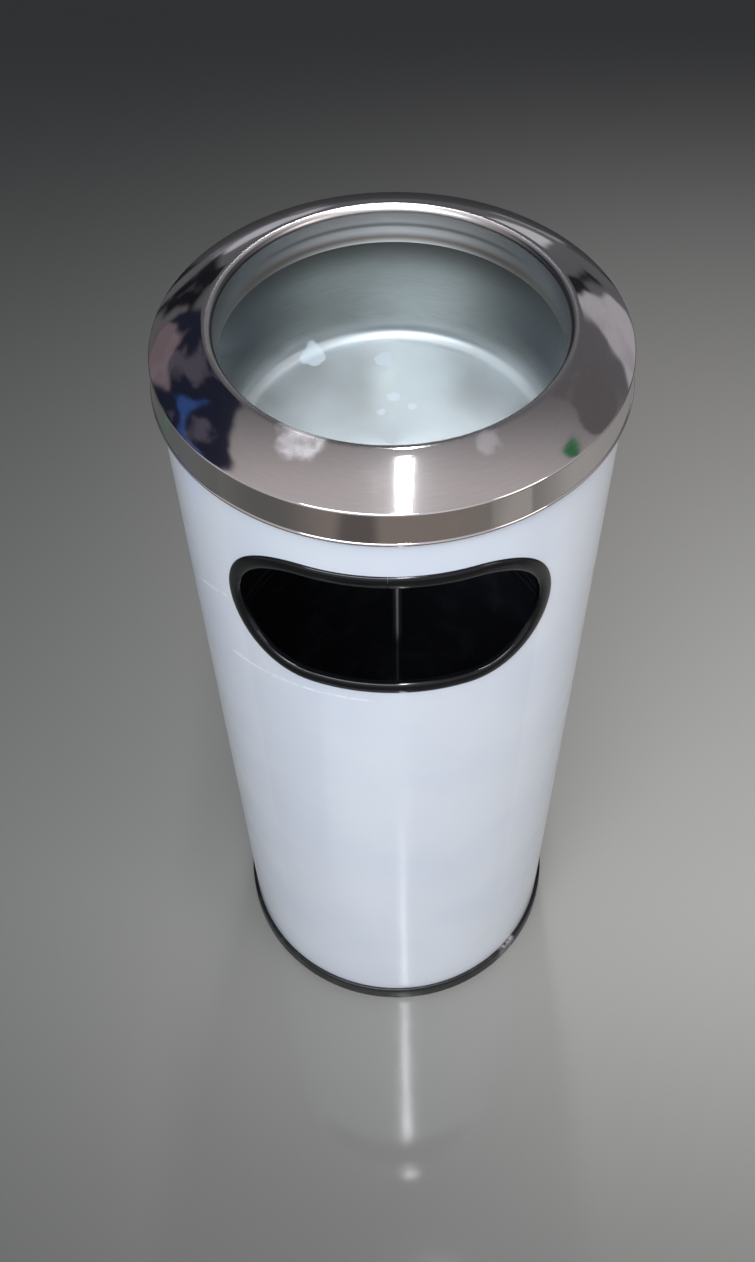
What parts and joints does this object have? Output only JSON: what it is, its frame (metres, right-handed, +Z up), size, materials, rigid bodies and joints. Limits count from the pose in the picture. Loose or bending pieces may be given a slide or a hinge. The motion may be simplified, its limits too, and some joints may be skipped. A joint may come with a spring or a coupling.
{
  "type": "ashtray bin",
  "caption": "Free-standing round litter bin with a side opening, a lift-off ash bowl and polished ring on top, and a pail with a bail handle inside.",
  "frame": {"origin": "centre of the base, on the floor", "axes": "+Z up along the tube's axis, the opening faces -Y"},
  "size_m": [0.2548, 0.2548, 0.61],
  "materials": {
    "white_powder_coat": "glossy white powder coat on rolled steel sheet",
    "black_plastic": "moulded semi-gloss black plastic",
    "zinc_plated_steel": "bright zinc plate",
    "polished_stainless": "mirror-polished pressed stainless steel",
    "satin_stainless": "satin drawn stainless steel",
    "black_enamel": "glossy black enamel on steel sheet"
  },
  "bodies": {
    "bin": {"body_shell": "white_powder_coat", "opening_trim": "black_plastic", "base_ring": "black_plastic", "base_plate": "zinc_plated_steel", "base_screw_front_left": "zinc_plated_steel", "base_screw_front_right": "zinc_plated_steel", "base_screw_rear_left": "zinc_plated_steel", "base_screw_rear_right": "zinc_plated_steel"},
    "liner": {"liner_wall": "black_enamel", "liner_bottom": "black_enamel", "liner_ear_left": "zinc_plated_steel", "liner_ear_right": "zinc_plated_steel", "liner_rivet_left_lower": "zinc_plated_steel", "liner_rivet_left_upper": "zinc_plated_steel", "liner_rivet_right_lower": "zinc_plated_steel", "liner_rivet_right_upper": "zinc_plated_steel"},
    "handle": {"liner_handle": "zinc_plated_steel", "handle_grip": "black_plastic"},
    "lid": {"lid_ring": "polished_stainless", "ash_bowl": "satin_stainless"}
  },
  "joints": [
    {"name": "liner_lift", "type": "slide", "parent": "bin", "child": "liner", "axis": [0, 0, 1], "range_m": [0, 0.61]},
    {"name": "lid_lift", "type": "slide", "parent": "liner", "child": "lid", "axis": [0, 0, 1], "range_m": [0, 0.12]},
    {"name": "handle_swing", "type": "hinge", "parent": "liner", "child": "handle", "pos_m": [0, 0, 0.391], "axis": [1, 0, 0], "range_deg": [0, 180]}
  ]
}
